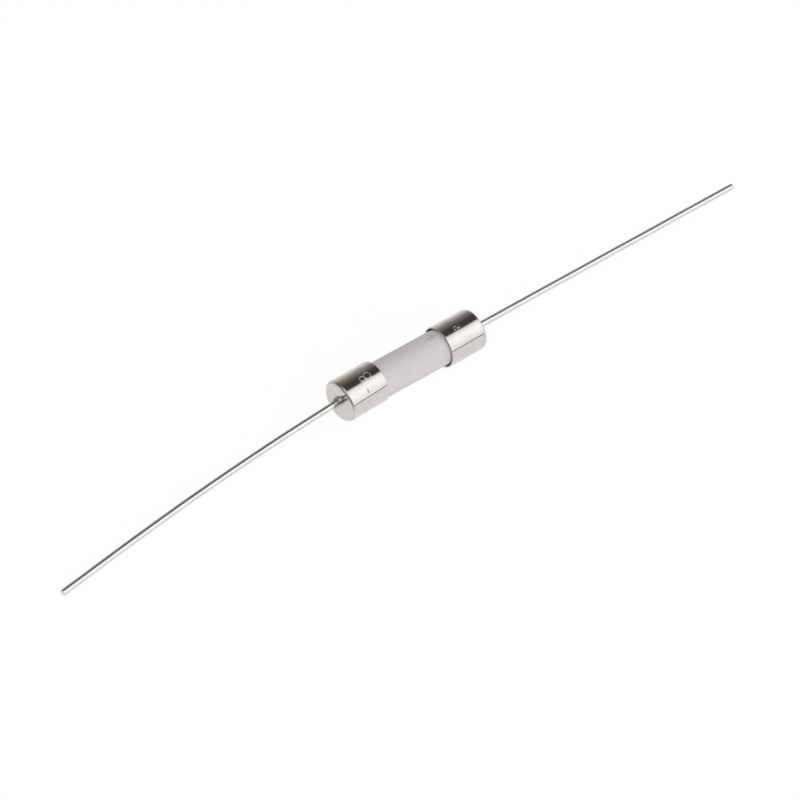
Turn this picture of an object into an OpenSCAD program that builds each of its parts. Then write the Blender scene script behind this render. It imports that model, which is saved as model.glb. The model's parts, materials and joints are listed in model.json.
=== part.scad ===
// Ceramic cartridge fuse with axial wire leads, lying as it rests on a flat surface.
// Millimetres. The body's axis is X and the origin is the middle of the body on that axis.
// The near end is at -X and has the bent lead, the far end is at +X and has the straight lead.

/* [Body] */
// Length of the body over the two cap end faces
body_l = 20.15; // [16:0.05:30]
// Outer diameter of the end caps
cap_d = 5.2; // [4.8:0.05:6.4]
// Length of a cap from its end face to its open rim
cap_l = 5.3; // [3:0.1:7]
// Wall of the drawn sheet metal caps
cap_wall = 0.2; // [0.12:0.01:0.3]
// Outer radius where a cap's side turns into its end face
cap_edge_r = 0.35; // [0.32:0.01:0.6]
// Lead-in bevel inside a cap's open rim
cap_rim_bevel = 0.06; // [0.02:0.01:0.1]

/* [Ceramic tube] */
// Clearance all round between the tube and the inside of a cap
cap_gap = 0.18; // [0.1:0.01:0.25]
// Gap left on the tight side of the near cap, which sits off centre
tight_side_gap = 0.08; // [0.02:0.01:0.1]
// Diameter of the bore through the tube
tube_bore_d = 3; // [2:0.1:3.4]
// Chamfer on the tube's outer and inner end edges
tube_chamfer = 0.15; // [0.05:0.01:0.3]

/* [Leads] */
// Diameter of the lead wire
lead_d = 0.8; // [0.5:0.05:1.1]
// Length of each lead along the wire, from the cap's end face
lead_l = 41.6; // [38:0.1:60]
// Diameter of the upset collar where a lead is welded to its cap
weld_d = 1.5; // [1.3:0.05:2]
// Height of the weld collar above the cap's end face
weld_h = 0.4; // [0.36:0.02:0.6]
// Width of the lip that the weld collar ends in round the wire
weld_lip = 0.04; // [0.04:0.01:0.1]
// Rounding of the cut tip of the near lead
near_tip_r = 0.08; // [0.02:0.01:0.2]
// Rounding of the cut tip of the far lead
far_tip_r = 0.2; // [0.02:0.01:0.24]

/* [Bend of the near lead] */
// Angle between the wire and the body's axis where it leaves the weld
root_lean = 3.2; // [1:0.1:6]
// Straight length of wire between the weld and the bend
root_l = 4; // [2:0.5:8]
// Radius of the long even bend
bend_r = 440; // [300:10:600]
// Angle that the bend turns through
bend_turn = 3.75; // [1:0.05:4]

/* [Inside] */
// Thickness of the solder between a cap's end and the tube
solder_t = 0.4; // [0.36:0.01:0.8]
// Diameter of the fuse element wire
element_d = 0.2; // [0.1:0.01:0.22]
// How much the element's radius swells where it is folded
fold_swell = 0.01; // [0.005:0.005:0.02]
// Distance between the element and the bore's wall at the tube's mouth
element_inset = 0.15; // [0.1:0.01:0.3]
// Distance of the element's folded tail from the tube's outer edge
tail_inset = 0.4; // [0.25:0.05:0.5]
// Room round the element's tail in the solder
tail_room = 0.05; // [0.03:0.01:0.08]
// Clearance round the sand, the solder and the element where they fill a space
fill_gap = 0.02; // [0.01:0.005:0.03]

/* [Hidden] */
$fn = 96;
eps = 0.01;

cap_r = cap_d / 2;
cap_in_r = cap_r - cap_wall;
cap_in_edge_r = cap_edge_r - cap_wall;
tube_r = cap_in_r - cap_gap;
tube_l = body_l - 2 * (cap_wall + solder_t);
bore_r = tube_bore_d / 2;
// The near cap has slid sideways in its clearance, away from the side that the lead bends to
near_shift = cap_gap - tight_side_gap;

lead_r = lead_d / 2;
weld_r = weld_d / 2;
weld_fillet_r = weld_r - lead_r - weld_lip;
// The leaning wire starts inside the weld metal
lean_start = weld_h / 2;
bend_l = bend_r * bend_turn * PI / 180;
bend_end_x = root_l + bend_r * sin(bend_turn);
bend_end_y = bend_r * (1 - cos(bend_turn));
end_l = lead_l - lean_start - root_l - bend_l;
end_lean = root_lean + bend_turn;
// Distance of the near lead's tip from the line of the body's axis
tip_reach = root_l * sin(root_lean) + bend_r * (cos(root_lean) - cos(end_lean)) + end_l * sin(end_lean);
// The fuse has rolled until that tip meets the surface that the caps lie on
roll = asin(min(1, (cap_r - lead_r) / tip_reach));
bend_steps = 24;

element_r = element_d / 2;
mouth_z = bore_r - element_inset - element_r;
tail_z = tube_r - tail_inset;
fold_x = tube_l / 2 + element_r + fill_gap;
slant = atan2(fold_x, mouth_z);

// Half section of a rod of radius r and length h, with the outer corner at its start rounded by c
module rounded_section(r, h, c) {
    square([r - c, h]);
    translate([0, c])
        square([r, h - c]);
    translate([r - c, c])
        circle(r = c);
}

// Places a child whose +X points out of the body on the near or the far cap
module at_near_end() {
    translate([-body_l / 2, near_shift, 0])
        mirror([1, 0, 0])
            children();
}

module at_far_end() {
    translate([body_l / 2, 0, 0])
        children();
}

// A drawn cup with its end face at X = 0 and its open rim towards -X
module cap() {
    rotate([0, -90, 0])
        rotate_extrude()
            difference() {
                rounded_section(cap_r, cap_l, cap_edge_r);
                translate([0, cap_wall])
                    rounded_section(cap_in_r, cap_l, cap_in_edge_r);
                polygon([
                    [cap_in_r - eps, cap_l - cap_rim_bevel - eps],
                    [cap_in_r + cap_rim_bevel + eps, cap_l + eps],
                    [cap_in_r - eps, cap_l + eps]
                ]);
            }
}

// The wire's own metal, upset against the cap and drawn up to the wire in a hollow fillet with a thin lip
module weld_collar() {
    rotate([0, 90, 0])
        rotate_extrude()
            difference() {
                square([weld_r, weld_h]);
                translate([weld_r, weld_h])
                    circle(r = weld_fillet_r);
            }
}

// Straight wire along +X, with its far end rounded by tip_r
module wire(l, tip_r) {
    translate([l, 0, 0])
        rotate([0, -90, 0])
            rotate_extrude()
                rounded_section(lead_r, l, tip_r);
}

module plain_wire(l) {
    rotate([0, 90, 0])
        cylinder(r = lead_r, h = l);
}

// Wire that leaves along +X, turns towards +Y and runs straight to its tip
module bent_wire() {
    plain_wire(root_l);
    translate([root_l, bend_r, 0])
        rotate([0, 0, -90])
            rotate_extrude(angle = bend_turn, $fn = bend_steps * 360 / bend_turn)
                translate([bend_r, 0])
                    circle(r = lead_r, $fn = 96);
    // Moved in two steps, since one long step is rounded and leaves a sliver between the two wires
    translate([floor(bend_end_x), 0, 0])
        translate([bend_end_x - floor(bend_end_x), bend_end_y, 0])
            rotate([0, 0, bend_turn])
                wire(end_l, near_tip_r);
}

// Solder that fills the bottom of a cap, its face against the tube at -X
module solder_slug() {
    translate([-cap_wall, 0, 0])
        rotate([0, -90, 0])
            rotate_extrude()
                rounded_section(cap_in_r - fill_gap, solder_t, cap_in_edge_r);
}

// Space that the element's tail takes in the solder at the +X end of the tube
module tail_pocket() {
    translate([tube_l / 2 - eps, -element_r - tail_room, mouth_z - element_r - tail_room])
        cube([element_d + fill_gap + tail_room + eps, element_d + 2 * tail_room,
              tail_z - mouth_z + element_r + 2 * tail_room]);
}

// Where the element is folded over the +X end of the tube, and its tail beyond the fold
module fold_and_tail() {
    translate([fold_x, 0, mouth_z]) {
        sphere(r = element_r + fold_swell);
        cylinder(r = element_r, h = tail_z - mouth_z);
    }
}

// The child and a copy after half a turn about Y, which the element looks the same after
module at_both_mouths() {
    children();
    rotate([0, 180, 0])
        children();
}

// Rod of radius r that slants through the bore from one fold of the element to the other
module slanting_rod(r) {
    rotate([0, slant, 0])
        cylinder(r = r, h = 2 * norm([fold_x, mouth_z]), center = true);
}

module ceramic_tube() {
    color("#d6d1ce")
        translate([-tube_l / 2, 0, 0])
            rotate([0, 90, 0])
                difference() {
                    union() {
                        cylinder(r1 = tube_r - tube_chamfer, r2 = tube_r, h = tube_chamfer);
                        translate([0, 0, tube_chamfer])
                            cylinder(r = tube_r, h = tube_l - 2 * tube_chamfer);
                        translate([0, 0, tube_l - tube_chamfer])
                            cylinder(r1 = tube_r, r2 = tube_r - tube_chamfer, h = tube_chamfer);
                    }
                    translate([0, 0, -eps])
                        cylinder(r = bore_r, h = tube_l + 2 * eps);
                }
}

module near_end_cap() {
    color("#c9c5bd")
        at_near_end()
            cap();
}

module far_end_cap() {
    color("#c9c5bd")
        at_far_end()
            cap();
}

module near_lead() {
    color("#b4b3b0")
        at_near_end() {
            weld_collar();
            translate([lean_start, 0, 0])
                rotate([180 + roll, 0, 0])
                    rotate([0, 0, root_lean])
                        bent_wire();
        }
}

module far_lead() {
    color("#b4b3b0")
        at_far_end() {
            weld_collar();
            wire(lead_l, far_tip_r);
        }
}

module fuse_element() {
    color("#c0a080") {
        slanting_rod(element_r);
        at_both_mouths()
            fold_and_tail();
    }
}

module sand_filling() {
    color("#d9cfb4")
        difference() {
            translate([-tube_l / 2, 0, 0])
                rotate([0, 90, 0])
                    cylinder(r = bore_r - fill_gap, h = tube_l);
            slanting_rod(element_r + fill_gap);
        }
}

module near_solder() {
    color("#a8a8a4")
        difference() {
            at_near_end()
                solder_slug();
            rotate([0, 180, 0])
                tail_pocket();
        }
}

module far_solder() {
    color("#a8a8a4")
        difference() {
            at_far_end()
                solder_slug();
            tail_pocket();
        }
}

ceramic_tube();
near_end_cap();
far_end_cap();
near_lead();
far_lead();
fuse_element();
sand_filling();
near_solder();
far_solder();
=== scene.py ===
import json
from math import asin, cos, degrees, pi, radians, sin
import bmesh
import bpy
import numpy as np
from mathutils import Matrix, Vector, noise


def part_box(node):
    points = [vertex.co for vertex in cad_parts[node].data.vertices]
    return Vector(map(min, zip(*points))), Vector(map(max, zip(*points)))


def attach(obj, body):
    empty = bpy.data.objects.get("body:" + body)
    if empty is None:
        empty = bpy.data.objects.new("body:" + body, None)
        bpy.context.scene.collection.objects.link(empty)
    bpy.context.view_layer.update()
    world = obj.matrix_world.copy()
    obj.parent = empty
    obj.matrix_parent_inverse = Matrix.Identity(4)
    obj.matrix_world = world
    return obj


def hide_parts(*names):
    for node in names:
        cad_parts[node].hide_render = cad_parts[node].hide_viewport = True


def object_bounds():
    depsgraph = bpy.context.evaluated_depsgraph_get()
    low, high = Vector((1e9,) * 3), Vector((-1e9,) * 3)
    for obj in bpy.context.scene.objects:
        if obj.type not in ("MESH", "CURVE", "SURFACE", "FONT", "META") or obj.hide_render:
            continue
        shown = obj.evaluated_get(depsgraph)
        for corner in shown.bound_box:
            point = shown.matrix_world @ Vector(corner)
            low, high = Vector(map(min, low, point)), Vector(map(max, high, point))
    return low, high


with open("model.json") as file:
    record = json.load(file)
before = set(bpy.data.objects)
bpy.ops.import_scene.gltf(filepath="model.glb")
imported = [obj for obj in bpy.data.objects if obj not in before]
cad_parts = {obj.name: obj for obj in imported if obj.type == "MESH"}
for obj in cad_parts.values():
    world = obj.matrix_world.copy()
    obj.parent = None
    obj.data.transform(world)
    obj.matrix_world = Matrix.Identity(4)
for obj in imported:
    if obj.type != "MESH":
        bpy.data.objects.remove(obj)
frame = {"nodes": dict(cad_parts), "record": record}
cadLow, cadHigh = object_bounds()
mm = 0.001
mounts = {m["name"]: m for m in frame["record"]["mounts"]}
print("frame loaded, box in mm:", [round(v / mm, 2) for v in (*cadLow, *cadHigh)])

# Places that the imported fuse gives
nearLow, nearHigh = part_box("near_end_cap")
farLow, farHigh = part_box("far_end_cap")
tubeLow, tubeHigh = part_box("ceramic_tube")
nearFaceX, nearRimX = nearLow.x, nearHigh.x
farRimX, farFaceX = farLow.x, farHigh.x
capRadius = (farHigh.z - farLow.z) / 2
nearCentreY = (nearLow.y + nearHigh.y) / 2
wireRadius = mounts["far_lead"]["dims"]["r_mm"] * mm


# A point round the body's line. Its turn is 0 at the side that faces -Y and grows over the top.
def aroundBody(x, turn, radius, centreY=0.0):
    return Vector((x, centreY - radius * cos(turn), radius * sin(turn)))


# Camera, fitted to the outlines of the caps, the tube and the leads
photoCamera = {
    "lens": 176.2,  # mm
    "sensor": 36,  # mm across
    "distance": 451.4 * mm,  # along the view, from the middle of the body
    "turn": 39.93,  # degrees that the view is turned towards the near end
    "drop": 41.47,  # degrees that it looks down
    "frame": 800,  # pixels across the picture
    "bodyAt": (407.05, 364.95),  # place of the middle of the body in the picture, in pixels
}


def makeCamera():
    turn, drop = radians(photoCamera["turn"]), radians(photoCamera["drop"])
    level = Vector((sin(turn), cos(turn), 0))
    right = Vector((cos(turn), -sin(turn), 0))
    ahead = level * cos(drop) - Vector((0, 0, sin(drop)))
    up = level * sin(drop) + Vector((0, 0, cos(drop)))
    pixel = photoCamera["distance"] * photoCamera["sensor"] / photoCamera["lens"] / photoCamera["frame"]
    middle = photoCamera["frame"] / 2
    sideways = (photoCamera["bodyAt"][0] - middle) * pixel
    upwards = (middle - photoCamera["bodyAt"][1]) * pixel
    data = bpy.data.cameras.new("photoCamera")
    data.lens = photoCamera["lens"]
    data.sensor_width = photoCamera["sensor"]
    camera = bpy.data.objects.new("photoCamera", data)
    bpy.context.collection.objects.link(camera)
    place = -(right * sideways + up * upwards + ahead * photoCamera["distance"])
    camera.matrix_world = Matrix.Translation(place) @ Matrix((right, up, -ahead)).transposed().to_4x4()
    bpy.context.scene.camera = camera


makeCamera()
print("camera ready")


# Small tools for node trees
nodeGrid = (210, 190)  # spacing of nodes in the editor, across and down


def plug(tree, socket, value):
    if isinstance(value, bpy.types.NodeSocket):
        tree.links.new(value, socket)
    elif value is not None:
        socket.default_value = value


def addNode(tree, kind, at, sockets=None, **settings):
    made = tree.nodes.new(kind)
    made.location = (at[0] * nodeGrid[0], -at[1] * nodeGrid[1])
    for key, value in settings.items():
        setattr(made, key, value)
    for key, value in (sockets or {}).items():
        plug(tree, made.inputs[key], value)
    return made


def math(tree, operation, at, *values, clamp=False):
    made = addNode(tree, "ShaderNodeMath", at, operation=operation, use_clamp=clamp)
    for socket, value in zip(made.inputs, values):
        plug(tree, socket, value)
    return made.outputs[0]


def vectorMath(tree, operation, at, *values, output="Vector"):
    made = addNode(tree, "ShaderNodeVectorMath", at, operation=operation)
    for socket, value in zip(made.inputs, values):
        plug(tree, socket, value)
    return made.outputs[output]


def partOf(tree, axis, at, vector):
    return addNode(tree, "ShaderNodeSeparateXYZ", at, {0: vector}).outputs[axis]


def remap(tree, at, value, low, high, toLow, toHigh):
    sockets = {"Value": value, "From Min": low, "From Max": high, "To Min": toLow, "To Max": toHigh}
    return addNode(tree, "ShaderNodeMapRange", at, sockets).outputs["Result"]


# Goes from the first value to the second as the share goes from 0 to 1
def between(tree, at, share, first, second):
    return remap(tree, at, share, 0.0, 1.0, first, second)


# A plain colour with its alpha. A socket stays as it is.
def opaque(colour):
    return (*colour, 1) if isinstance(colour, tuple) else colour


def mixColour(tree, at, share, first, second, blend="MIX"):
    made = addNode(tree, "ShaderNodeMix", at, data_type="RGBA", blend_type=blend)
    plug(tree, made.inputs[0], share)
    plug(tree, made.inputs[6], opaque(first))
    plug(tree, made.inputs[7], opaque(second))
    return made.outputs[2]


# A new node group, its inputs and its outputs. An input's default is a number or a vector, or None for a
# vector that is always given. Outputs are numbers.
def newGroup(name, inputs, outputs):
    group = bpy.data.node_groups.new(name, "ShaderNodeTree")
    for label, default in inputs.items():
        kind = "NodeSocketFloat" if isinstance(default, float) else "NodeSocketVector"
        socket = group.interface.new_socket(label, in_out="INPUT", socket_type=kind)
        if default is not None:
            socket.default_value = default
    for label in outputs:
        group.interface.new_socket(label, in_out="OUTPUT", socket_type="NodeSocketFloat")
    given = addNode(group, "NodeGroupInput", (-3, 0)).outputs
    return group, given, addNode(group, "NodeGroupOutput", (6, 0)).inputs


def useGroup(tree, group, at, sockets):
    made = addNode(tree, "ShaderNodeGroup", at, node_tree=group)
    for key, value in sockets.items():
        plug(tree, made.inputs[key], value)
    return made.outputs


# The mask that a group draws, in the sizes that a finish gives it
def pattern(tree, group, at, place, shape):
    return useGroup(tree, group, at, {"Place": place, **shape})["Mask"]


def newMaterial(name, colour):
    material = bpy.data.materials.new(name)
    material.use_nodes = True
    material.diffuse_color = (*colour, 1)
    tree = material.node_tree
    shader = tree.nodes["Principled BSDF"]
    shader.location = (8 * nodeGrid[0], 0)
    tree.nodes["Material Output"].location = (10 * nodeGrid[0], 0)
    place = addNode(tree, "ShaderNodeTexCoord", (-3, 0)).outputs["Object"]
    return material, tree, shader, vectorMath(tree, "MULTIPLY", (-2, 0), place, (1 / mm, 1 / mm, 1 / mm))


# Fine relief, with its greatest height in mm
def addBump(tree, shader, height, greatest):
    sockets = {"Height": height, "Strength": 1.0, "Distance": greatest * mm}
    bump = addNode(tree, "ShaderNodeBump", (6, 3), sockets)
    plug(tree, shader.inputs["Normal"], bump.outputs[0])


noiseSpan = (0.32, 0.68)  # what the values of Blender's noise seldom leave
fullContrast = 4.0  # times that the drawn lines' noise is spread at a contrast of 1
spotShape = {"radius": 0.22, "sharpness": 8.0}  # in spacings, and the steepness of its edge
grainShares = {"lines": 0.6, "wear": 0.5}  # what each adds to the way from smooth to rough


# Soft patches of one tone in another, as handling and plating leave them
def makeCloudsGroup():
    group, given, out = newGroup(
        "soft clouds", {"Place": None, "Size": 1.0, "Low": 0.0, "High": 1.0, "Roughening": 0.6}, ["Mask"])
    scale = math(group, "DIVIDE", (-2, 1), 1.0, given["Size"])
    cloud = addNode(group, "ShaderNodeTexNoise", (-1, 0), {
        "Vector": given["Place"], "Scale": scale, "Detail": 3.0, "Roughness": given["Roughening"]})
    mask = remap(group, (1, 0), cloud.outputs["Fac"], *noiseSpan, given["Low"], given["High"])
    plug(group, out["Mask"], mask)
    return group


# Fine lines drawn out along the axis that has the smallest stretch
def makeLinesGroup():
    group, given, out = newGroup(
        "drawn lines", {"Place": None, "Stretch": (1.0, 1.0, 1.0), "Contrast": 0.5}, ["Mask", "Height"])
    drawn = vectorMath(group, "MULTIPLY", (-2, 0), given["Place"], given["Stretch"])
    fine = addNode(group, "ShaderNodeTexNoise", (-1, 0), {
        "Vector": drawn, "Scale": 1.0, "Detail": 4.0, "Roughness": 0.65}).outputs["Fac"]
    centred = math(group, "SUBTRACT", (0, 0), fine, 0.5)
    contrast = math(group, "MULTIPLY", (0, 1), given["Contrast"], fullContrast)
    strong = math(group, "MULTIPLY", (1, 0), centred, contrast)
    plug(group, out["Mask"], math(group, "ADD", (2, 0), strong, 0.5, clamp=True))
    plug(group, out["Height"], fine)
    return group


# Scattered small spots, such as pits, dust and plating blemishes
def makeSpotsGroup():
    group, given, out = newGroup("small spots", {"Place": None, "Spacing": 0.5, "Share": 0.1}, ["Mask"])
    scale = math(group, "DIVIDE", (-2, 1), 1.0, given["Spacing"])
    cells = addNode(group, "ShaderNodeTexVoronoi", (-1, 0), {"Vector": given["Place"], "Scale": scale})
    parts = addNode(group, "ShaderNodeSeparateColor", (0, 1), {"Color": cells.outputs["Color"]}).outputs
    picked = math(group, "LESS_THAN", (0, 2), parts["Red"], given["Share"])
    reach = math(group, "MULTIPLY", (1, 1), picked, spotShape["radius"])
    spot = math(group, "SUBTRACT", (2, 0), reach, cells.outputs["Distance"])
    plug(group, out["Mask"], math(group, "MULTIPLY", (3, 0), spot, spotShape["sharpness"], clamp=True))
    return group


# Wear of drawn metal: where its clouds and spots dull it, and the roughness that they and its lines give
def makeWearGroup():
    group, given, out = newGroup("metal wear", {
        "Clouds": 0.0, "Spots": 0.0, "Lines": 0.0, "Cloud Share": 0.5, "Spot Share": 0.5,
        "Smooth": 0.1, "Rough": 0.3}, ["Mask", "Roughness"])
    clouded = math(group, "MULTIPLY", (-1, 0), given["Clouds"], given["Cloud Share"])
    spotted = math(group, "MULTIPLY", (-1, 1), given["Spots"], given["Spot Share"])
    worn = math(group, "MAXIMUM", (0, 0), clouded, spotted)
    lined = math(group, "MULTIPLY", (1, 1), given["Lines"], grainShares["lines"])
    grain = math(group, "ADD", (2, 1), lined, math(group, "MULTIPLY", (1, 2), worn, grainShares["wear"]))
    plug(group, out["Mask"], worn)
    plug(group, out["Roughness"], between(group, (3, 1), grain, given["Smooth"], given["Rough"]))
    return group


# The painted dark streak beside the near weld, a painted reflection of the wire's dark underside and dark
# surroundings, tinted brown: where it runs on the end face, in degrees round the body and mm
paintedStreakLine = {
    "turn": 48.6, "from": -0.45, "to": 1.95, "beside": 0.10, "core": 0.05,
    "ragged": 0.10, "ragScale": 2.6,  # how far its edge strays, and how many times per mm
}


# Its mask, and how far each point lies to its lower side
def makePaintedStreakGroup():
    group, given, out = newGroup(
        "painted dark streak", {"Place": None, "Reach": 0.18, "Face": 10.0}, ["Mask", "Beside"])
    turn, ragged = radians(paintedStreakLine["turn"]), paintedStreakLine["ragged"]
    outward, sideways = (0, -cos(turn), sin(turn)), (0, -sin(turn), -cos(turn))
    uneven = addNode(group, "ShaderNodeTexNoise", (-2, 1), {
        "Vector": given["Place"], "Scale": paintedStreakLine["ragScale"], "Detail": 3.0}).outputs["Color"]
    strayed = vectorMath(group, "ADD", (-2, 0), given["Place"], uneven)
    strayed = mixColour(group, (-1, 2), ragged, given["Place"], strayed)
    place = vectorMath(group, "SUBTRACT", (-1, 0), strayed, (0, ragged / 2, ragged / 2))
    along = vectorMath(group, "DOT_PRODUCT", (0, 0), place, outward, output="Value")
    across = vectorMath(group, "DOT_PRODUCT", (0, 1), place, sideways, output="Value")
    past = math(group, "MAXIMUM", (1, 0), math(group, "SUBTRACT", (1, 2), along, paintedStreakLine["to"]),
                math(group, "SUBTRACT", (1, 3), paintedStreakLine["from"], along))
    past = math(group, "MAXIMUM", (2, 0), past, 0.0)
    beside = math(group, "SUBTRACT", (1, 1), across, paintedStreakLine["beside"])
    both = addNode(group, "ShaderNodeCombineXYZ", (3, 0), {"X": past, "Y": beside}).outputs[0]
    away = vectorMath(group, "LENGTH", (4, 0), both, output="Value")
    near = remap(group, (4, 1), away, paintedStreakLine["core"], given["Reach"], 1.0, 0.0)
    outX = math(group, "MULTIPLY", (2, 2), partOf(group, "X", (1, 4), given["Place"]), -1.0)
    atNearEnd = math(group, "GREATER_THAN", (3, 2), outX, given["Face"])
    plug(group, out["Mask"], math(group, "MULTIPLY", (5, 0), near, atNearEnd))
    plug(group, out["Beside"], across)
    return group


smudgeShape = {
    "fadeFrom": 0.35,  # share of its size where it starts to fade
    "waves": 2.2,  # per mm, of the noise that its lines follow
    "line": (0.015, 0.08),  # where a line starts and ends to fade, in the noise's values
    "between": 0.15,  # what is left of it between the lines
}


# A small scribbled smudge round one place: broken thin lines that fade out from its middle
def makeSmudgeGroup():
    group, given, out = newGroup("scribbled smudge", {
        "Place": None, "Middle": (0.0, 0.0, 0.0), "Size": (1.0, 0.55, 0.55), "Share": 0.9}, ["Mask"])
    away = vectorMath(group, "SUBTRACT", (-2, 0), given["Place"], given["Middle"])
    away = vectorMath(group, "DIVIDE", (-1, 0), away, given["Size"])
    reach = vectorMath(group, "LENGTH", (0, 0), away, output="Value")
    fade = remap(group, (1, 0), reach, smudgeShape["fadeFrom"], 1.0, given["Share"], 0.0)
    wavy = addNode(group, "ShaderNodeTexNoise", (0, 1), {
        "Vector": given["Place"], "Scale": smudgeShape["waves"], "Detail": 2.0, "Roughness": 0.5})
    fromLine = math(group, "ABSOLUTE", (1, 2), math(group, "SUBTRACT", (1, 1), wavy.outputs["Fac"], 0.5))
    line = remap(group, (2, 1), fromLine, *smudgeShape["line"], 1.0, smudgeShape["between"])
    plug(group, out["Mask"], math(group, "MULTIPLY", (3, 0), fade, line))
    return group


cloudsGroup = makeCloudsGroup()
linesGroup = makeLinesGroup()
spotsGroup = makeSpotsGroup()
wearGroup = makeWearGroup()
paintedStreakGroup = makePaintedStreakGroup()
smudgeGroup = makeSmudgeGroup()


# The clouds of a metal, the height of its drawn lines and its wear, in the sizes that its finish gives
def addMetalWear(tree, place, finish):
    clouds = pattern(tree, cloudsGroup, (0, 0), place, finish["clouds"])
    spots = pattern(tree, spotsGroup, (0, 1), place, finish["spots"])
    lines = useGroup(tree, linesGroup, (0, 2), {"Place": place, **finish["lines"]})
    wear = useGroup(tree, wearGroup, (1, 0), {
        "Clouds": clouds, "Spots": spots, "Lines": lines["Mask"], **finish["wear"]})
    return clouds, lines["Height"], wear


# Nickel plate of the caps, in mm
nickelFinish = {
    "colour": (0.719, 0.687, 0.658),
    "dull": (0.545, 0.517, 0.486),
    "clouds": {"Size": 1.7, "High": 0.45},
    "mottle": {"Size": 0.24, "High": 0.5},
    "spots": {"Spacing": 0.42, "Share": 0.05},
    "lines": {"Stretch": (26.0, 1.6, 1.6), "Contrast": 0.5},  # polish marks run round the cap
    "lineHeight": 0.0006,
    "wear": {"Cloud Share": 0.4, "Spot Share": 0.6, "Smooth": 0.07, "Rough": 0.14},
    "paintedStreak": (0.122, 0.093, 0.083),  # the painted dark streak beside the weld on the end face, a painted reflection tinted brown
    "paintedStreakReach": 0.14,
    "paintedStreakShare": 0.95,
    "paintedStreakRoughness": 0.50,
    "paintedStreakMetal": 0.25,  # the painted streak is made less metallic, so that it shines less
    # painted dark reflection along the rounded edge of each cap's end face; the tick is drawn in it too
    "paintedEdgeDarkAndTick": (0.110, 0.100, 0.090),
    "struck": (0.82, 0.80, 0.77),  # bare torn metal in the strokes of the digits
    "struckRoughness": 0.55,
}
faceDepth = 0.3  # mm behind the end face's plane that still counts as the end face


def makeNickel():
    finish = nickelFinish
    material, tree, shader, place = newMaterial("nickelPlate", finish["colour"])
    _, lineHeight, wear = addMetalWear(tree, place, finish)
    # the painted dark streak on the near end face: painted reflection, tinted brown
    paintedStreak = pattern(tree, paintedStreakGroup, (0, 3), place, {
        "Reach": finish["paintedStreakReach"], "Face": farFaceX / mm - faceDepth})
    mottle = pattern(tree, cloudsGroup, (0, 4), place, finish["mottle"])
    struck = addNode(tree, "ShaderNodeAttribute", (0, 5), attribute_name="struck").outputs["Fac"]
    # the painted dark reflection line at the edge, and the tick, as the mesh carries them
    paintedEdgeDarkAndTick = addNode(tree, "ShaderNodeAttribute", (0, 6), attribute_name="paintedEdgeDarkAndTick").outputs["Fac"]
    marked = math(tree, "ADD", (1, 4), wear["Mask"], mottle, clamp=True)
    tone = mixColour(tree, (2, 0), marked, finish["colour"], finish["dull"])
    paintedStreakShown = math(tree, "MULTIPLY", (2, 3), paintedStreak, finish["paintedStreakShare"])
    tone = mixColour(tree, (3, 0), paintedStreakShown, tone, finish["paintedStreak"])
    tone = mixColour(tree, (4, 0), paintedEdgeDarkAndTick, tone, finish["paintedEdgeDarkAndTick"])
    tone = mixColour(tree, (5, 0), struck, tone, finish["struck"])
    plug(tree, shader.inputs["Base Color"], tone)
    plug(tree, shader.inputs["Metallic"], between(tree, (5, 1), paintedStreak, 1.0, finish["paintedStreakMetal"]))
    rough = between(tree, (5, 3), paintedStreak, wear["Roughness"], finish["paintedStreakRoughness"])
    rough = between(tree, (6, 2), struck, rough, finish["struckRoughness"])
    plug(tree, shader.inputs["Roughness"], rough)
    addBump(tree, shader, lineHeight, finish["lineHeight"])
    return material


# Tinned wire and its weld, in mm. Places along it count out from the end face.
wireFinish = {
    "colour": (0.74, 0.73, 0.71),
    "dull": (0.56, 0.545, 0.52),
    "clouds": {"Size": 1.1, "High": 0.7},
    "spots": {"Spacing": 0.3, "Share": 0.1},
    "lines": {"Stretch": (0.35, 16.0, 16.0), "Contrast": 0.8},  # the drawing die's lines run along the wire
    "lineHeight": 0.0014,
    "wear": {"Cloud Share": 0.5, "Spot Share": 0.7, "Smooth": 0.12, "Rough": 0.26},
    "metal": {"nearWire": 0.925, "farWire": 0.85},  # the far wire's tin is a little more oxidised
    "root": (0.48, 0.45, 0.43),  # where the weld has burnt the tin off
    "rootFade": (0.3, 1.1), "rootShare": 0.6,
    # the painted dark streak where it runs over the collar, and the collar's painted dark blotches
    "paintedStreak": (0.082, 0.061, 0.054),
    "paintedStreakReach": 0.32,
    "paintedStreakRoughness": 0.50,
    "paintedStreakMetal": 0.08,
    "collarFade": (0.50, 0.74), "collarShare": 0.95,  # where the painted dark on the collar ends
    "footFade": (0.10, 0.32), "footShare": 0.1,  # where its upper part starts, off the end face
    "upperFade": (-0.2, 0.35), "upperShares": (0.95, 0.05),  # of the painted dark, from its upper side to its lower side
    "blotch": {"Size": 0.25, "Low": 0.6, "High": 1.0},
    "creaseShade": (0.80, 0.20),  # out and to the lower side, of a painted shade spot in the crease where the weld metal ends
    "creaseShadeFade": (0.08, 0.2), "creaseShadeShare": 0.8,
}


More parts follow.
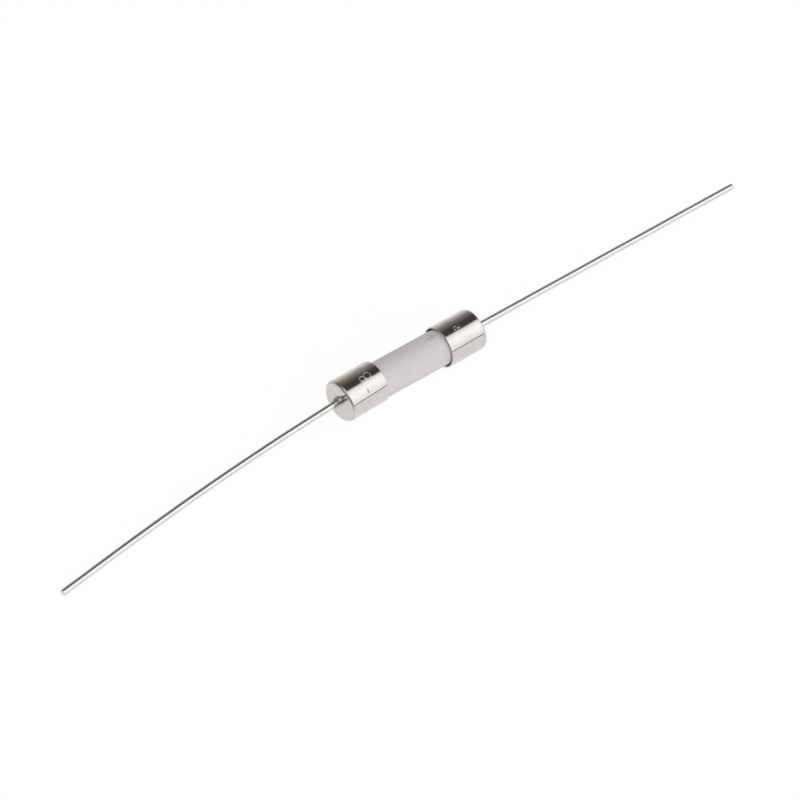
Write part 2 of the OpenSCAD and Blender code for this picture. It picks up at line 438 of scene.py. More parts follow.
def makeTinnedWire(name):
    finish = wireFinish
    material, tree, shader, place = newMaterial(name, finish["colour"])
    clouds, lineHeight, wear = addMetalWear(tree, place, finish)
    outX = math(tree, "ABSOLUTE", (-1, 5), partOf(tree, "X", (-1, 4), place))
    fromFace = math(tree, "SUBTRACT", (0, 5), outX, farFaceX / mm)
    tone = mixColour(tree, (2, 0), wear["Mask"], finish["colour"], finish["dull"])
    atRoot = remap(tree, (1, 4), fromFace, *finish["rootFade"], finish["rootShare"], 0.0)
    atRoot = math(tree, "MULTIPLY", (2, 3), clouds, atRoot)
    tone = mixColour(tree, (3, 0), atRoot, tone, finish["root"])
    # the painted dark streak runs over the collar, and the collar's upper side gets painted dark reflection
    # in blotches
    paintedStreak = useGroup(tree, paintedStreakGroup, (0, 3), {"Place": place, "Reach": finish["paintedStreakReach"]})
    blotch = pattern(tree, cloudsGroup, (0, 7), place, finish["blotch"])
    upperSide = remap(tree, (1, 7), paintedStreak["Beside"], *finish["upperFade"], *finish["upperShares"])
    offFoot = remap(tree, (1, 8), fromFace, *finish["footFade"], finish["footShare"], 1.0)
    onCollar = remap(tree, (1, 6), fromFace, *finish["collarFade"], finish["collarShare"], 0.0)
    upper = math(tree, "MULTIPLY", (3, 7), math(tree, "MULTIPLY", (2, 7), blotch, upperSide), offFoot)
    collarPaintedDark = math(tree, "MAXIMUM", (3, 4), paintedStreak["Mask"], upper)
    collarPaintedDark = math(tree, "MULTIPLY", (3, 3), collarPaintedDark, onCollar)
    tone = mixColour(tree, (4, 0), collarPaintedDark, tone, finish["paintedStreak"])
    # painted shade in the crease where the collar meets the wire
    here = addNode(tree, "ShaderNodeCombineXYZ", (2, 8), {"X": fromFace, "Y": paintedStreak["Beside"]}).outputs[0]
    fromCreaseShade = vectorMath(tree, "DISTANCE", (3, 8), here, (*finish["creaseShade"], 0), output="Value")
    inCreaseShade = remap(tree, (3, 9), fromCreaseShade, *finish["creaseShadeFade"], finish["creaseShadeShare"], 0.0)
    tone = mixColour(tree, (4, 1), inCreaseShade, tone, finish["paintedStreak"])
    plug(tree, shader.inputs["Base Color"], tone)
    metal = between(tree, (6, 1), collarPaintedDark, finish["metal"][name], finish["paintedStreakMetal"])
    plug(tree, shader.inputs["Metallic"], metal)
    rough = between(tree, (6, 2), collarPaintedDark, wear["Roughness"], finish["paintedStreakRoughness"])
    plug(tree, shader.inputs["Roughness"], rough)
    addBump(tree, shader, lineHeight, finish["lineHeight"])
    return material


# Unglazed ceramic of the tube, in mm
ceramicFinish = {
    "colour": (0.672, 0.638, 0.630),
    "shade": (0.600, 0.568, 0.562),
    "clouds": {"Size": 1.3, "High": 0.8},
    "cloudShare": 0.55,
    "grain": {"Size": 0.16, "Roughening": 0.75},
    "grainHeight": 0.0035,
    "roughness": (0.42, 0.62),
    "speck": (0.49, 0.45, 0.44),
    "specks": {"Spacing": 0.5, "Share": 0.06},
    "speckShare": 0.35,
    "smudge": (0.33, 0.31, 0.31),
    "smudgeAt": aroundBody(3.5, radians(90), 2.22),  # on top, by the far cap
}


def makeCeramic():
    finish = ceramicFinish
    material, tree, shader, place = newMaterial("unglazedCeramic", finish["colour"])
    clouds = pattern(tree, cloudsGroup, (0, 0), place, finish["clouds"])
    grain = pattern(tree, cloudsGroup, (0, 1), place, finish["grain"])
    specks = pattern(tree, spotsGroup, (0, 2), place, finish["specks"])
    clouded = math(tree, "MULTIPLY", (1, 0), clouds, finish["cloudShare"])
    tone = mixColour(tree, (2, 0), clouded, finish["colour"], finish["shade"])
    specked = math(tree, "MULTIPLY", (2, 2), specks, finish["speckShare"])
    tone = mixColour(tree, (3, 0), specked, tone, finish["speck"])
    smudged = pattern(tree, smudgeGroup, (0, 4), place, {"Middle": finish["smudgeAt"]})
    tone = mixColour(tree, (4, 0), smudged, tone, finish["smudge"])
    plug(tree, shader.inputs["Base Color"], tone)
    plug(tree, shader.inputs["Roughness"], between(tree, (4, 1), grain, *finish["roughness"]))
    addBump(tree, shader, grain, finish["grainHeight"])
    return material


# Finishes of what the caps and the tube close in, each a cloudy tone with its own grain
insideGrainHeight = 0.01  # mm
insideFinishes = {
    "elementWire": {"light": (0.70, 0.58, 0.46), "dark": (0.55, 0.42, 0.32), "size": 0.4, "metal": 1.0,
                    "rough": (0.2, 0.35)},
    "quartzSand": {"light": (0.76, 0.70, 0.56), "dark": (0.58, 0.50, 0.36), "size": 0.12, "metal": 0.0,
                   "rough": (0.7, 0.95)},
    "softSolder": {"light": (0.56, 0.56, 0.54), "dark": (0.42, 0.42, 0.41), "size": 0.5, "metal": 1.0,
                   "rough": (0.25, 0.45)},
}


def makeInsideFinish(name):
    finish = insideFinishes[name]
    material, tree, shader, place = newMaterial(name, finish["light"])
    clouds = pattern(tree, cloudsGroup, (0, 0), place, {"Size": finish["size"]})
    plug(tree, shader.inputs["Base Color"], mixColour(tree, (2, 0), clouds, finish["light"], finish["dark"]))
    plug(tree, shader.inputs["Roughness"], between(tree, (3, 1), clouds, *finish["rough"]))
    shader.inputs["Metallic"].default_value = finish["metal"]
    addBump(tree, shader, clouds, insideGrainHeight)
    return material


nickelPlate = makeNickel()
wireMaterials = {name: makeTinnedWire(name) for name in wireFinish["metal"]}
unglazedCeramic = makeCeramic()
print("finishes ready")


# Tools for meshes. An object is smooth, but for edges sharper than the given angle in degrees.
def smoothObject(name, bm, material, sharpAngle=38):
    bmesh.ops.recalc_face_normals(bm, faces=bm.faces)
    for face in bm.faces:
        face.smooth = True
    for edge in bm.edges:
        if len(edge.link_faces) == 2 and degrees(edge.calc_face_angle()) > sharpAngle:
            edge.smooth = False
    mesh = bpy.data.meshes.new(name)
    bm.to_mesh(mesh)
    bm.free()
    mesh.materials.append(material)
    made = bpy.data.objects.new(name, mesh)
    bpy.context.collection.objects.link(made)
    return made


# Joins rings of vertices into a skin. A ring of one vertex is a pole.
def skinRings(bm, rings):
    for first, second in zip(rings, rings[1:]):
        for i in range(max(len(first), len(second))):
            j = i + 1
            corners = [first[i % len(first)], first[j % len(first)],
                       second[j % len(second)], second[i % len(second)]]
            kept = [c for k, c in enumerate(corners) if c not in corners[:k]]
            if len(kept) > 2:
                bm.faces.new(kept)


# Points of an arc round a centre, from one angle to another in degrees
def arcPoints(centre, radii, fromAngle, toAngle, steps):
    angles = [radians(fromAngle + (toAngle - fromAngle) * i / steps) for i in range(steps + 1)]
    return [(centre[0] + radii[0] * cos(a), centre[1] + radii[1] * sin(a)) for a in angles]


# Turns of the points of a full ring, the last of which isn't the first one again
def ringTurns(count):
    return [2 * pi * k / count for k in range(count)]


# Values from low to high in coarse steps, and in fine steps between the two ends of each fine stretch
def steppedValues(low, high, coarse, fineStretches, fine):
    cuts = sorted({low, high, *[v for stretch in fineStretches for v in stretch]})
    values = []
    for start, end in zip(cuts, cuts[1:]):
        inFine = any(a <= (start + end) / 2 <= b for a, b in fineStretches)
        count = max(1, round((end - start) / (fine if inFine else coarse)))
        values += [start + (end - start) * i / count for i in range(count)]
    return values + [high]


# Strokes of each plain digit in mm, across and up from the digit's middle
digitStrokes = {
    "8": [arcPoints((0, 0.40), (0.33, 0.335), 0, 360, 28), arcPoints((0, -0.385), (0.43, 0.44), 0, 360, 30)],
    "0": [arcPoints((0, 0), (0.36, 0.72), 0, 360, 34)],
    "5": [[(0.22, 0.42), (-0.12, 0.45), (-0.17, 0.09)],
          arcPoints((-0.02, -0.14), (0.21, 0.23), 130, -150, 20)],
    "tick": [[(0, -0.22), (0, 0.21)]],
}
stampShape = {
    "depth": 0.020, "lip": 0.005,  # mm
    "lipAt": 1.5, "lipWidth": 0.4, "brightTo": 1.3,  # in half widths of the stroke, from its middle
}


def strokeDistance(across, up, strokes):
    nearest = np.full(across.shape, 9.0)
    for stroke in strokes:
        for (ax, ay), (bx, by) in zip(stroke, stroke[1:]):
            dx, dy = bx - ax, by - ay
            t = np.clip(((across - ax) * dx + (up - ay) * dy) / (dx * dx + dy * dy), 0, 1)
            nearest = np.minimum(nearest, np.hypot(across - ax - t * dx, up - ay - t * dy))
    return nearest


# How far the struck metal moves out, in mm: down in the stroke and up in a low lip beside it
def stampRelief(distance, halfWidth):
    inStroke = np.clip(1 - (distance / halfWidth) ** 2, 0, 1) ** 2
    fromLip = (distance - stampShape["lipAt"] * halfWidth) / (stampShape["lipWidth"] * halfWidth)
    return stampShape["lip"] * np.exp(-(fromLip ** 2)) - stampShape["depth"] * inStroke


# Shape that both caps share, in mm
capShape = {
    "wall": 0.2, "edgeRadius": 0.42, "innerEdge": 0.15, "rimBevel": 0.06, "rimRound": 0.035,
    "skin": 0.1,  # depth of what counts as its outer side
    "wave": 0.014, "waveScale": (0.55, 1.1),  # of the drawn wall's slow waves, and how dense they are
    "dish": 0.012,  # how far the end face is sunk at its middle
    "ovalTurn": -2.7,  # degrees round the body, of the wider diameter
    "bellyAt": 3.3, "bellyWidth": 0.6,  # of a low ridge round the cap, from the end face
    "rowStep": 0.22, "fineRow": 0.022,
    "turnStep": 2.5, "fineTurn": 0.5,  # degrees
    "faceRows": 18, "edgeSteps": 18, "rimSteps": 5,
}
# What differs from cap to cap. The tilt is in degrees about Z. The oval is mm out of round, at the face and
# at the rim. The stamp lies on the fine turns, in degrees, and the fine rows, in mm from the end face. Each
# of its marks has a digit, a turn in degrees, mm from the end face, a slant in degrees, half the stroke's
# width in mm, and how bright that is.
caps = {
    "nearCap": {
        "node": "near_end_cap", "faceX": nearFaceX, "rimX": nearRimX, "inward": 1, "centreY": nearCentreY,
        "tilt": 1.4, "oval": (0.032, -0.045), "belly": 0.0, "seed": 3.7,
        "fineTurns": [(28, 116)], "fineRows": [(2.3, 4.4)],
        "stamp": [("tick", 36.2, 2.60, 90, 0.058, 1.0), ("8", 71.1, 3.15, -5, 0.050, 0.9),
                  ("0", 98.5, 3.32, 0, 0.042, 0.6)],
    },
    "farCap": {
        "node": "far_end_cap", "faceX": farFaceX, "rimX": farRimX, "inward": -1, "centreY": 0.0,
        "tilt": 0, "oval": (-0.032, 0.012), "belly": 0.03, "seed": 11.2,
        "fineTurns": [(62, 84)], "fineRows": [(2.5, 4.2)],
        "stamp": [("5", 72.2, 3.34, 0, 0.036, 0.52)],
    },
}


# Half section of a cap: mm from the end face, and mm from the axis
def capProfile(length, fineRows):
    radius = capRadius / mm
    edge, wall, inner = capShape["edgeRadius"], capShape["wall"], capShape["innerEdge"]
    rimRound, bevel, steps = capShape["rimRound"], capShape["rimBevel"], capShape["rimSteps"]
    flat = radius - edge
    faceRadii = np.linspace(0, flat, capShape["faceRows"])
    face = [(capShape["dish"] * (1 - (r / flat) ** 2), r) for r in faceRadii]
    corner = arcPoints((edge, flat), (edge, edge), 180, 90, capShape["edgeSteps"])[1:]
    rows = steppedValues(edge, length - rimRound, capShape["rowStep"], fineRows, capShape["fineRow"])
    side = [(s, radius) for s in rows][1:]
    rim = arcPoints((length - rimRound, radius - rimRound), (rimRound, rimRound), 90, 0, steps)[1:]
    inside = radius - wall
    mouth = [(length, inside + bevel), (length - bevel, inside), (wall + inner, inside)]
    innerCorner = arcPoints((wall + inner, inside - inner), (inner, inner), 90, 180, steps)[1:]
    return face + corner + side + rim + mouth + innerCorner + [(wall, 0)]


# The painted dark reflection line that follows the rounded edge: turn round the cap, angle round the edge,
# weight
paintedEdgeLine = [(-60, 50, 0.05), (-5, 50, 0.12), (10, 48, 0.35), (22, 43, 0.75), (35, 35, 1.0), (48, 25, 1.0),
            (69, 13, 0.95), (80, 9, 0.80), (100, 26, 0.80), (115, 34, 0.50), (150, 45, 0.10)]
paintedEdgeLineWidth = {"inner": 18, "outer": 12}  # degrees, towards the face and towards the side


def paintedEdgeDark(turn, edgeAngle):
    turns, middles, weights = zip(*paintedEdgeLine)
    middle = np.interp(np.degrees(turn), turns, middles)
    weight = np.interp(np.degrees(turn), turns, weights)
    width = np.where(edgeAngle < middle, paintedEdgeLineWidth["inner"], paintedEdgeLineWidth["outer"])
    return np.exp(-(((edgeAngle - middle) / width) ** 2)) * weight


# How far each point of a cap moves out in mm, how far it is struck bare, and how far it gets the painted
# dark reflection line at its edge or the dark of the tick
def capMarks(cap, along, across, angle, length):
    radius, edge = capRadius / mm, capShape["edgeRadius"]
    # strokes stay on the side, clear of its two ends, and the painted dark line reaches a little way into
    # the face
    nearly, offFace, offRim, intoFace = 0.02, 0.6 * edge, 0.06, 0.4
    onSide = (across > radius - nearly) & (along > offFace) & (along < length - offRim)
    onEdge = (along <= edge) & (across >= radius - edge - intoFace)
    past = across - (radius - edge)
    edgeAngle = np.degrees(np.where(past < 0, past / edge, np.arctan2(past, edge - along)))
    paintedEdgeDarkAndTick = np.where(onEdge, paintedEdgeDark(angle, edgeAngle), 0)
    relief, struck = np.zeros(paintedEdgeDarkAndTick.shape), np.zeros(paintedEdgeDarkAndTick.shape)
    for digit, turn, fromFace, slant, halfWidth, bright in cap["stamp"]:
        # a digit's foot is towards the rim, and it reads towards the back
        x = (angle - radians(turn)) * radius + 0 * along
        y = (fromFace - along) + 0 * angle
        s = radians(slant)
        distance = strokeDistance(x * cos(s) - y * sin(s), x * sin(s) + y * cos(s), digitStrokes[digit])
        relief += np.where(onSide, stampRelief(distance, halfWidth), 0)
        shown = bright * np.clip(stampShape["brightTo"] - distance / halfWidth, 0, 1)
        shown = np.where(onSide, shown, 0)
        # the tick is drawn in the same dark as the painted edge line
        if digit == "tick":
            paintedEdgeDarkAndTick = np.maximum(paintedEdgeDarkAndTick, shown)
        else:
            struck = np.maximum(struck, shown)
    share = np.clip((along - edge) / (length - edge), 0, 1)
    outer = across > radius - capShape["skin"]
    atFace, atRim = cap["oval"]
    oval = (atFace + (atRim - atFace) * share) * np.cos(2 * (angle - radians(capShape["ovalTurn"])))
    belly = cap["belly"] * np.exp(-(((along - capShape["bellyAt"]) / capShape["bellyWidth"]) ** 2))
    return relief + np.where(outer, oval, 0) + np.where(outer, belly, 0), struck, paintedEdgeDarkAndTick


def makeCap(name, cap):
    faceX, direction, centreY = cap["faceX"], cap["inward"], cap["centreY"]
    length, radius = abs(cap["rimX"] - faceX) / mm, capRadius / mm
    profile = capProfile(length, cap["fineRows"])
    degreesRound = steppedValues(-180, 180, capShape["turnStep"], cap["fineTurns"], capShape["fineTurn"])
    turns = [radians(t) for t in degreesRound][:-1]
    along = np.array([p[0] for p in profile])[:, None]
    across = np.array([p[1] for p in profile])[:, None]
    relief, struck, paintedEdgeDarkAndTick = capMarks(cap, along, across, np.array(turns)[None, :], length)
    bm = bmesh.new()
    struckLayer, paintedEdgeDarkAndTickLayer = bm.verts.layers.float.new("struck"), bm.verts.layers.float.new("paintedEdgeDarkAndTick")
    waveAlong, waveRound = capShape["waveScale"]
    rings = []
    for i, (s, r) in enumerate(profile):
        x = faceX + direction * s * mm
        if r == 0:
            rings.append([bm.verts.new((x, centreY, 0))])
            continue
        ring = []
        for j, turn in enumerate(turns):
            point = Vector((s * waveAlong + cap["seed"], waveRound * cos(turn), waveRound * sin(turn)))
            wave = capShape["wave"] * noise.noise(point) * min(1, r / radius)
            lift = relief[i, j] + (wave if r > radius - capShape["skin"] else 0)
            ring.append(bm.verts.new(aroundBody(x, turn, (r + lift) * mm, centreY)))
            ring[-1][struckLayer], ring[-1][paintedEdgeDarkAndTickLayer] = struck[i, j], paintedEdgeDarkAndTick[i, j]
        rings.append(ring)
    skinRings(bm, rings)
    middle = Vector((faceX + direction * length / 2 * mm, centreY, 0))
    tilted = Matrix.Rotation(radians(cap["tilt"]), 3, "Z")
    bmesh.ops.rotate(bm, verts=bm.verts, cent=middle, matrix=tilted)
    made, node = smoothObject(name, bm, nickelPlate), cap["node"]
    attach(made, "root")
    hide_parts(node)


for name, cap in caps.items():
    makeCap(name, cap)
print("caps ready")

# Ceramic tube, in mm
tubeShape = {
    "chamfer": 0.15, "bore": 1.5,
    "wave": 0.004, "waveScale": (0.5, 1.3),  # of its slow waves, and how dense they are
    "rows": 60, "sides": 160,
}


def makeTube():
    half, radius = (tubeHigh.x - tubeLow.x) / 2 / mm, (tubeHigh.z - tubeLow.z) / 2 / mm
    chamfer, bore = tubeShape["chamfer"], tubeShape["bore"]
    outer = [(-half, radius - chamfer), (-half + chamfer, radius)]
    outer += [(x, radius) for x in np.linspace(-half + chamfer, half - chamfer, tubeShape["rows"])[1:]]
    waveAlong, waveRound = tubeShape["waveScale"]
    bm = bmesh.new()
    rings = []
    for x, r in outer + [(half, radius - chamfer), (half, bore), (-half, bore)]:
        ring = []
        for turn in np.linspace(0, 2 * pi, tubeShape["sides"], endpoint=False):
            point = Vector((x * waveAlong, waveRound * cos(turn), waveRound * sin(turn)))
            lift = tubeShape["wave"] * noise.noise(point) if r == radius else 0
            ring.append(bm.verts.new(aroundBody(x * mm, turn, (r + lift) * mm)))
        rings.append(ring)
    skinRings(bm, rings + [rings[0]])
    made = smoothObject("ceramicTube", bm, unglazedCeramic)
    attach(made, "root")
    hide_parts("ceramic_tube")


makeTube()
print("tube ready")

# Leads with their weld collars, in mm
leadShape = {
    "collarRadius": 0.68, "collarHeight": 0.66, "lip": 0.03, "collarSides": 64,
    "collarFoot": (0.05, 0.02),  # how far it goes behind the end face, and stands straight off it
    "flare": (0.1, 0.55, 0.35),  # shares of its height: where the flare starts, its hollow and its slope
    "flareFrom": 0.06, "flareSteps": 12,  # share of the flare's width that is left out at its foot
    "collarRough": 0.10,  # share of the radius, of the weld metal's uneven outline
    "roughScale": (2, 1.7),  # how dense that outline's noise is, along the wire and round it
    "collarSag": 0.06, "collarSagTurn": 139,  # share of the radius that it has run to one side, and its turn
    "sunk": 0.2,  # how far the wire starts behind the end face
    "sides": 40,
    "wobble": 0.012, "kinksPerMm": 0.12,  # of the wire's small kinks
    "kinkFade": 8,  # points at each end of a centreline over which they fade
    "nearTipRound": 0.08, "farTipRound": 0.2,
    "rootLean": 3.2, "rootLength": 4.0,  # degrees and mm of the near wire's straight start
    "tipOver": 0.1,  # that the near wire's cut end reaches past its straight stretch
}
# Where each lead's pieces read the noise
leadSeeds = {"farCollar": 2.3, "farWire": 4.0, "nearCollar": 7.9, "nearWire": 9.0}


# Sweeps a round wire along a centreline. ends is a list of (mm past the last point, share of the radius).
def sweepWire(bm, path, ends):
    stations = []
    for i, point in enumerate(path):
        tangent = (path[min(i + 1, len(path) - 1)] - path[max(i - 1, 0)]).normalized()
        stations.append((point, tangent, 1.0))
    last, tangent, _ = stations[-1]
    stations += [(last + tangent * step * mm, tangent, share) for step, share in ends]
    rings = []
    for point, tangent, share in stations:
        side = tangent.cross(Vector((0, 0, 1))).normalized()
        over = side.cross(tangent)
        isPole = share < 1e-3
        size = 0 if isPole else wireRadius * share
        turns = [0.0] if isPole else ringTurns(leadShape["sides"])
        rings.append([bm.verts.new(point + side * size * cos(t) + over * size * sin(t)) for t in turns])
    skinRings(bm, [[bm.verts.new(stations[0][0])]] + rings)


# Rounded end of a wire, as steps past its last point
def tipSteps(roundRadius, steps=6):
    turns = [radians(90 * i / steps) for i in range(1, steps + 1)]
    return [(roundRadius * sin(t), 1 - (1 - cos(t)) * roundRadius * mm / wireRadius) for t in turns]


# The weld metal, which flares out from the wire to the end face in a hollow
def addCollar(bm, faceX, direction, centreY, seed):
    big, high = leadShape["collarRadius"], leadShape["collarHeight"]
    small = wireRadius / mm + leadShape["lip"]
    behind, straight = leadShape["collarFoot"]
    start, hollow, slope = leadShape["flare"]
    flare = [(high * (start + hollow * (1 - cos(asin(u))) + slope * u), big + (small - big) * u)
             for u in np.linspace(leadShape["flareFrom"], 1, leadShape["flareSteps"])]
    roughAlong, roughRound = leadShape["roughScale"]
    rings = []
    for s, r in [(-behind, 0), (-behind, big), (straight, big)] + flare + [(high, 0)]:
        ring = []
        for turn in [0.0] if r == 0 else ringTurns(leadShape["collarSides"]):
            down = cos(turn - radians(leadShape["collarSagTurn"])) * max(0, r - small) / (big - small)
            point = Vector((s * roughAlong + seed, roughRound * cos(turn), roughRound * sin(turn)))
            rough = 1 + leadShape["collarSag"] * down + leadShape["collarRough"] * noise.noise(point)
            ring.append(bm.verts.new(aroundBody(faceX + direction * s * mm, turn, r * rough * mm, centreY)))
        rings.append(ring)
    skinRings(bm, rings)


def smallKinks(path, seed):
    made = []
    for i, point in enumerate(path):
        s = point.x / mm * leadShape["kinksPerMm"]
        fade = min(1, i / leadShape["kinkFade"]) * min(1, (len(path) - 1 - i) / leadShape["kinkFade"])
        sway = Vector((0, noise.noise(Vector((s, seed, 0))), noise.noise(Vector((s, seed, 5)))))
        made.append(point + sway * leadShape["wobble"] * mm * fade)
    return made


def finishLead(name, node, bm, finish):
    made = smoothObject(name, bm, wireMaterials[finish], sharpAngle=50)
    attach(made, "root")
    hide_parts(node)


def makeFarLead():
    bm = bmesh.new()
    addCollar(bm, farFaceX, 1, 0.0, leadSeeds["farCollar"])
    start = farFaceX + leadShape["sunk"] * mm
    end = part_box("far_lead")[1].x - leadShape["farTipRound"] * mm
    steps = 160
    path = [Vector((start + (end - start) * i / steps, 0, 0)) for i in range(steps + 1)]
    ends = tipSteps(leadShape["farTipRound"])
    sweepWire(bm, smallKinks(path, leadSeeds["farWire"]), ends + [(ends[-1][0], 0)])
    finishLead("farLead", "far_lead", bm, "farWire")


# Straight from the weld, then one even bend, then straight to the tip along its mount
def makeNearLead():
    bm = bmesh.new()
    addCollar(bm, nearFaceX, -1, nearCentreY, leadSeeds["nearCollar"])
    mount = mounts["near_lead"]
    along, centre = Vector(mount["axis"]).normalized(), Vector(mount["pos_m"])
    half = mount["dims"]["length_mm"] / 2 * mm
    outward = Vector((0, along.y, along.z)).normalized()
    lean = radians(leadShape["rootLean"])
    rootWay = Vector((-cos(lean), 0, 0)) + outward * sin(lean)
    first = Vector((nearFaceX - leadShape["sunk"] * mm, nearCentreY, 0))
    bendStart = first + rootWay * leadShape["rootLength"] * mm
    bendEnd = centre - along * half
    pull = (bendEnd - bendStart).length / 3
    a, b, c, d = bendStart, bendStart + rootWay * pull, bendEnd - along * pull, bendEnd
    tip = centre + along * (half + leadShape["tipOver"] * mm)
    rootSteps, bendSteps, endSteps = 16, 100, 40
    path = [first.lerp(bendStart, i / rootSteps) for i in range(rootSteps)]
    for t in [i / bendSteps for i in range(bendSteps)]:
        path.append(a * (1 - t) ** 3 + b * 3 * t * (1 - t) ** 2 + c * 3 * t * t * (1 - t) + d * t ** 3)
    path += [bendEnd.lerp(tip, i / endSteps) for i in range(endSteps + 1)]
    ends = tipSteps(leadShape["nearTipRound"])
    flat, edge = ends[-1]
    # the cut face is a little hollow
    ends += [(flat - 0.01, edge * 0.9), (flat - 0.02, 0.5), (flat - 0.015, 0)]
    sweepWire(bm, smallKinks(path, leadSeeds["nearWire"]), ends)
    finishLead("nearLead", "near_lead", bm, "nearWire")


makeFarLead()
makeNearLead()
print("leads ready")

# Pieces that stay as packed and only get their finish
insideNodes = {
    "fuse_element": "elementWire", "sand_filling": "quartzSand",
    "near_solder": "softSolder", "far_solder": "softSolder",
}
insideMaterials = {name: makeInsideFinish(name) for name in insideFinishes}
for node, finish in insideNodes.items():
    mesh = frame["nodes"][node].data
    mesh.materials.clear()
    mesh.materials.append(insideMaterials[finish])
print("inner pieces finished")

# Floor, cards and light, in metres
studio = {
    "floorSize": 6.0,
    "floorBounce": 0.9,  # how white the floor is for the light that it throws back
    "floorLift": 0.10,  # light that comes up through it
    "floorShown": (0.08, 0.94),  # its white to the camera: the part that shows shadow, and the rest
    "floorMirrored": (0.34, 0.71),  # the same in the metal
    "softbox": {"radius": 1.20, "turns": (-0.1, 80), "span": (-0.85, 2.4), "strength": 1.45,
                "tint": (0.985, 0.995, 1)},
    "topCard": {"radius": 1.15, "turns": (80, 180), "span": (-0.75, 2.6)},
    "frontShade": {"span": (-0.6, 1.6), "reach": (0.029, 0.108), "tone": 0.30},
    "frontSheet": {"span": (-0.6, 1.6), "reach": (0.108, 1.2), "tone": 1.19},
    "frontTint": (1, 0.99, 0.98),
    "frontLift": 0.0001,  # of the two front cards over the floor
    "endShade": {
        "x": -1.05, "tone": 0.16, "tint": (1, 0.94, 0.88),
        "corners": [(-1.3, -0.003), (3.0, -0.003), (3.0, 1.3), (0.30, 1.3), (0.30, 0.12), (-1.3, 0.12)],
    },
    "ambient": 0.53,  # strength of the white world, as light on the object
    "archSteps": 48,  # flat strips that a bent card is made of
}
# Tone of the softbox and of the card over it, by the turn in degrees
softboxTones = [(0, 0.82), (12, 0.85), (22, 0.93), (34, 0.98), (44, 1.0), (54, 0.97), (62, 0.90), (68, 0.80),
                (73, 0.65), (79, 0.30)]
topTones = [
    (81, (0.074, 0.066, 0.058)), (101, (0.066, 0.058, 0.051)), (114, (0.094, 0.084, 0.075)),
    (128, (0.190, 0.180, 0.168)), (142, (0.285, 0.270, 0.252)), (156, (0.500, 0.482, 0.455)),
    (174, (0.800, 0.780, 0.750)),
]


# 1 for what the camera, a mirror or glass sees, and 0 for light on its way to the object
def seenDirectly(tree, at):
    rays = addNode(tree, "ShaderNodeLightPath", at).outputs
    both = math(tree, "MAXIMUM", (at[0] + 1, at[1]), rays["Is Camera Ray"], rays["Is Glossy Ray"])
    return math(tree, "MAXIMUM", (at[0] + 2, at[1]), both, rays["Is Transmission Ray"])


def stageMaterial(name):
    material = bpy.data.materials.new(name)
    material.use_nodes = True
    tree = material.node_tree
    tree.nodes.remove(tree.nodes["Principled BSDF"])
    material.cycles.emission_sampling = "NONE"
    return material, tree, tree.nodes["Material Output"].inputs["Surface"]


def addGlow(tree, at, colour, strength=1.0):
    sockets = {"Color": opaque(colour), "Strength": strength}
    return addNode(tree, "ShaderNodeEmission", at, sockets).outputs[0]


# White that is partly lit by the scene, so that it shows shadow, and partly glows
def floorWhite(tree, at, lit, glow):
    diffuse = addNode(tree, "ShaderNodeBsdfDiffuse", at, {"Color": (lit, lit, lit, 1)}).outputs[0]
    glowing = addGlow(tree, (at[0], at[1] + 1), (1, 1, 1), glow)
    return addNode(tree, "ShaderNodeAddShader", (at[0] + 1, at[1]), {0: diffuse, 1: glowing}).outputs[0]


def makeFloor():
    material, tree, surface = stageMaterial("whiteFloor")
    bounced = floorWhite(tree, (0, 0), studio["floorBounce"], studio["floorLift"])
    shown = floorWhite(tree, (0, 2), *studio["floorShown"])
    mirrored = floorWhite(tree, (0, 4), *studio["floorMirrored"])
    camera = addNode(tree, "ShaderNodeLightPath", (1, 6)).outputs["Is Camera Ray"]
    seen = addNode(tree, "ShaderNodeMixShader", (2, 2), {0: camera, 1: mirrored, 2: shown}).outputs[0]
    direct = seenDirectly(tree, (-3, 0))
    pick = addNode(tree, "ShaderNodeMixShader", (3, 0), {0: direct, 1: bounced, 2: seen}).outputs[0]
    plug(tree, surface, pick)
    half = studio["floorSize"] / 2
    corners = [(x * half, y * half, cadLow.z) for x, y in ((-1, -1), (1, -1), (1, 1), (-1, 1))]
    bm = bmesh.new()
    bm.faces.new([bm.verts.new(c) for c in corners])
    smoothObject("floor", bm, material)


def cardObject(name, bm, material, light=False):
    card = smoothObject(name, bm, material)
    card.visible_camera = False
    card.visible_diffuse = light
    card.visible_shadow = False


# A card bent round the body's line, between two turns and two places along X
def archCard(name, shape, material, light=False):
    bm = bmesh.new()
    turns = np.linspace(radians(shape["turns"][0]), radians(shape["turns"][1]), studio["archSteps"] + 1)
    near, far = [[bm.verts.new(aroundBody(x, t, shape["radius"])) for t in turns] for x in shape["span"]]
    for i in range(studio["archSteps"]):
        bm.faces.new([near[i], near[i + 1], far[i + 1], far[i]])
    cardObject(name, bm, material, light)


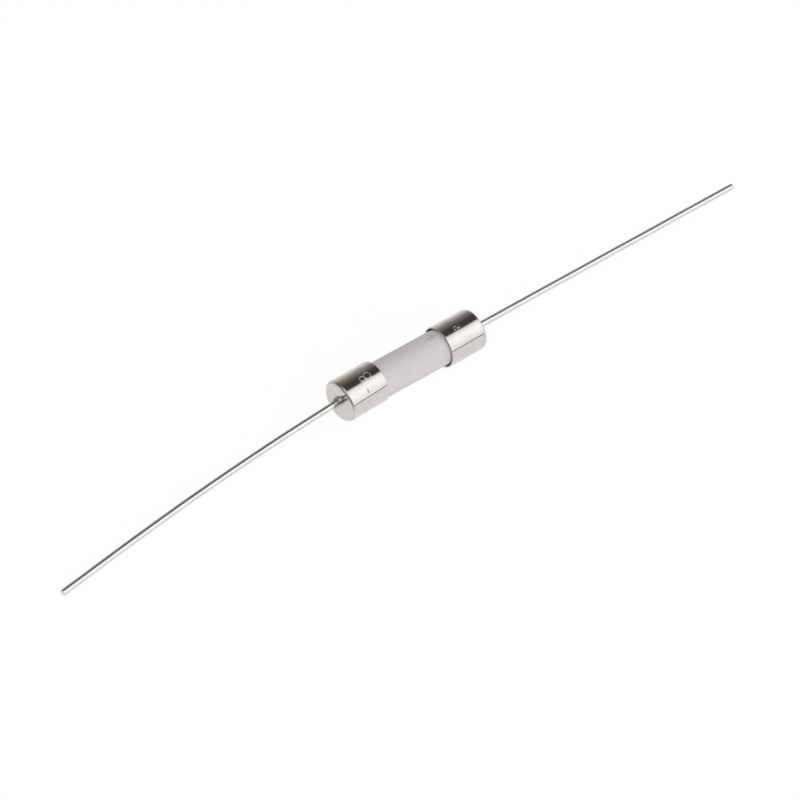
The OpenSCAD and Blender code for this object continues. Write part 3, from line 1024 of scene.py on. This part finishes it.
# Colour that follows the turn round the body's line, read from a list of (degrees, tone)
def toneByTurn(tree, tones):
    place = addNode(tree, "ShaderNodeTexCoord", (-4, 0)).outputs["Object"]
    towards = math(tree, "MULTIPLY", (-3, 1), partOf(tree, "Y", (-3, 2), place), -1.0)
    turn = math(tree, "ARCTAN2", (-2, 0), partOf(tree, "Z", (-3, 0), place), towards)
    share = math(tree, "DIVIDE", (-1, 0), turn, pi)
    ramp = addNode(tree, "ShaderNodeValToRGB", (0, 0), {"Fac": share})
    stops = ramp.color_ramp.elements
    stops[0].position, stops[1].position = tones[0][0] / 180, tones[-1][0] / 180
    for degreesRound, _ in tones[1:-1]:
        stops.new(degreesRound / 180)
    for stop, (_, tone) in zip(stops, tones):
        stop.color = opaque(tone if isinstance(tone, tuple) else (tone, tone, tone))
    return ramp.outputs["Color"]


def makeSoftbox():
    material, tree, surface = stageMaterial("softboxGlow")
    material.cycles.emission_sampling = "AUTO"
    box = studio["softbox"]
    tone = mixColour(tree, (1, 0), 1.0, toneByTurn(tree, softboxTones), box["tint"], blend="MULTIPLY")
    plug(tree, surface, addGlow(tree, (2, 0), tone, box["strength"]))
    archCard("softbox", box, material, light=True)


# The card over and behind the body: dark overhead and paler towards the back edge of the table
def makeTopCard():
    material, tree, surface = stageMaterial("topCardTone")
    plug(tree, surface, addGlow(tree, (2, 0), toneByTurn(tree, topTones)))
    archCard("topCard", studio["topCard"], material)


# Flat cards that only the metal shows
def flatCard(name, corners, tone, tint):
    material, tree, surface = stageMaterial(name + "Tone")
    plug(tree, surface, addGlow(tree, (0, 0), tuple(tone * part for part in tint)))
    bm = bmesh.new()
    bm.faces.new([bm.verts.new(c) for c in corners])
    cardObject(name, bm, material)


def makeFlatCards():
    height = cadLow.z + studio["frontLift"]
    for name in ("frontShade", "frontSheet"):
        card = studio[name]
        (left, right), (close, away) = card["span"], card["reach"]
        corners = [(x, -y, height) for x, y in ((left, close), (right, close), (right, away), (left, away))]
        flatCard(name, corners, card["tone"], studio["frontTint"])
    shade = studio["endShade"]
    flatCard("endShade", [(shade["x"], y, z) for y, z in shade["corners"]], shade["tone"], shade["tint"])


def makeWorld():
    world = bpy.data.worlds.new("studioWorld")
    bpy.context.scene.world = world
    world.use_nodes = True
    world.cycles.sampling_method = "NONE"
    tree = world.node_tree
    background = tree.nodes["Background"].inputs
    background["Color"].default_value = (1, 1, 1, 1)
    seen = seenDirectly(tree, (-4, 1))
    plug(tree, background["Strength"], between(tree, (0, 1), seen, studio["ambient"], 1.0))


makeFloor()
makeSoftbox()
makeTopCard()
makeFlatCards()
makeWorld()
bpy.context.scene.view_settings.view_transform = "Standard"
print("floor, cards and light ready")
